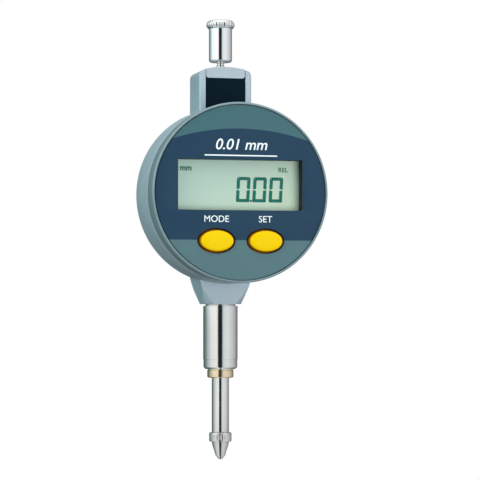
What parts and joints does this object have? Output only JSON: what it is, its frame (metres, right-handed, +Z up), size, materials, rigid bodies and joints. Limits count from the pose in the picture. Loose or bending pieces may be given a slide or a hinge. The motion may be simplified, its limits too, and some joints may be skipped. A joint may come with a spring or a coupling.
{
  "type": "digital dial indicator",
  "caption": "Small digital dial indicator: round case on a clamping stem, swivelling screen head with two push-buttons, and a sprung plunger with a lifting knob and a ball-tipped contact point.",
  "frame": {"origin": "middle of the clamping length of the mounting stem, on the plunger's axis", "axes": "+Z up along the plunger from the contact point to the lifting knob, -Y out of the display, +X to the right of someone who reads the display"},
  "size_m": [0.0406, 0.0259, 0.1019],
  "materials": {
    "case_metal": "satin blue-grey coating, finely textured",
    "cap_metal": "satin pale grey coating",
    "cover_metal": "satin blue-grey coating",
    "head_metal": "satin darker blue-grey coating",
    "black_gloss": "gloss black with a blue tint",
    "face_plastic": "smooth printed face, grey-green with a dark blue band",
    "clear_lens": "clear polished window",
    "screen_black": "matt black moulding",
    "screen_glass": "grey-green liquid crystal panel",
    "button_yellow": "translucent yellow push-button",
    "polished_steel": "ground and polished",
    "knob_steel": "turned and polished",
    "contact_steel": "turned hardened steel",
    "ball_steel": "polished ball",
    "screw_steel": "bright zinc",
    "spring_steel": "plain spring steel",
    "cell_steel": "nickel-plated can",
    "dark_metal": "black anodised",
    "brass": "turned brass",
    "pale_brass": "pale turned brass",
    "gold_contact": "gold-plated",
    "board": "green circuit board",
    "dark_plastic": "matt black plastic",
    "ribbon": "amber film ribbon",
    "zebra_rubber": "soft contact rubber",
    "rubber": "black nitrile rubber"
  },
  "bodies": {
    "case": {"housing": "case_metal", "tower_panel": "black_gloss", "top_cap": "cap_metal", "top_bush": "brass", "stem": "polished_steel", "stem_inner_bush": "brass", "stem_collar": "pale_brass", "buffer_washer": "rubber", "return_spring": "spring_steel", "guide_rail": "spring_steel", "guide_rail_screws": "screw_steel", "reader_board": "board", "reader_sensor": "dark_plastic", "reader_screws": "screw_steel", "battery_holder": "dark_plastic", "battery_cell": "cell_steel", "battery_contacts": "gold_contact", "back_gasket": "rubber", "back_cover": "cover_metal", "back_cover_screws": "screw_steel", "battery_door": "dark_plastic", "stop_pin": "screw_steel", "friction_washer": "spring_steel", "head_seal": "rubber", "link_flex": "ribbon"},
    "display_head": {"head_shell": "head_metal", "hub_retainer": "spring_steel", "face_plate": "face_plastic", "lens": "clear_lens", "screen_frame": "screen_black", "screen_panel": "screen_glass", "zebra_strips": "zebra_rubber", "main_board": "board", "board_chips": "dark_plastic", "key_domes": "gold_contact", "board_screws": "screw_steel", "coiled_flex": "ribbon"},
    "mode_key": {"mode_button": "button_yellow"},
    "set_key": {"set_button": "button_yellow"},
    "plunger": {"spindle": "polished_steel", "knob_rod": "polished_steel", "lifting_knob": "knob_steel", "contact_body": "contact_steel", "contact_ball": "ball_steel", "scale_carrier": "dark_metal", "carrier_screw": "screw_steel", "guide_pin": "polished_steel", "scale_strip": "gold_contact"}
  },
  "joints": [
    {"name": "plunger_travel", "type": "slide", "parent": "case", "child": "plunger", "axis": [0, 0, 1], "range_m": [0, 0.0125], "stiffness_N_per_m": 25, "springref_m": -0.03, "deforming": ["return_spring"]},
    {"name": "display_swivel", "type": "hinge", "parent": "case", "child": "display_head", "pos_m": [0, -0.008, 0.0325], "axis": [0, 1, 0], "range_deg": [-180, 90]},
    {"name": "mode_press", "type": "slide", "parent": "display_head", "child": "mode_key", "axis": [0, 1, 0], "range_m": [0, 0.0006], "stiffness_N_per_m": 1500, "springref_m": -0.0004},
    {"name": "set_press", "type": "slide", "parent": "display_head", "child": "set_key", "axis": [0, 1, 0], "range_m": [0, 0.0006], "stiffness_N_per_m": 1500, "springref_m": -0.0004}
  ]
}
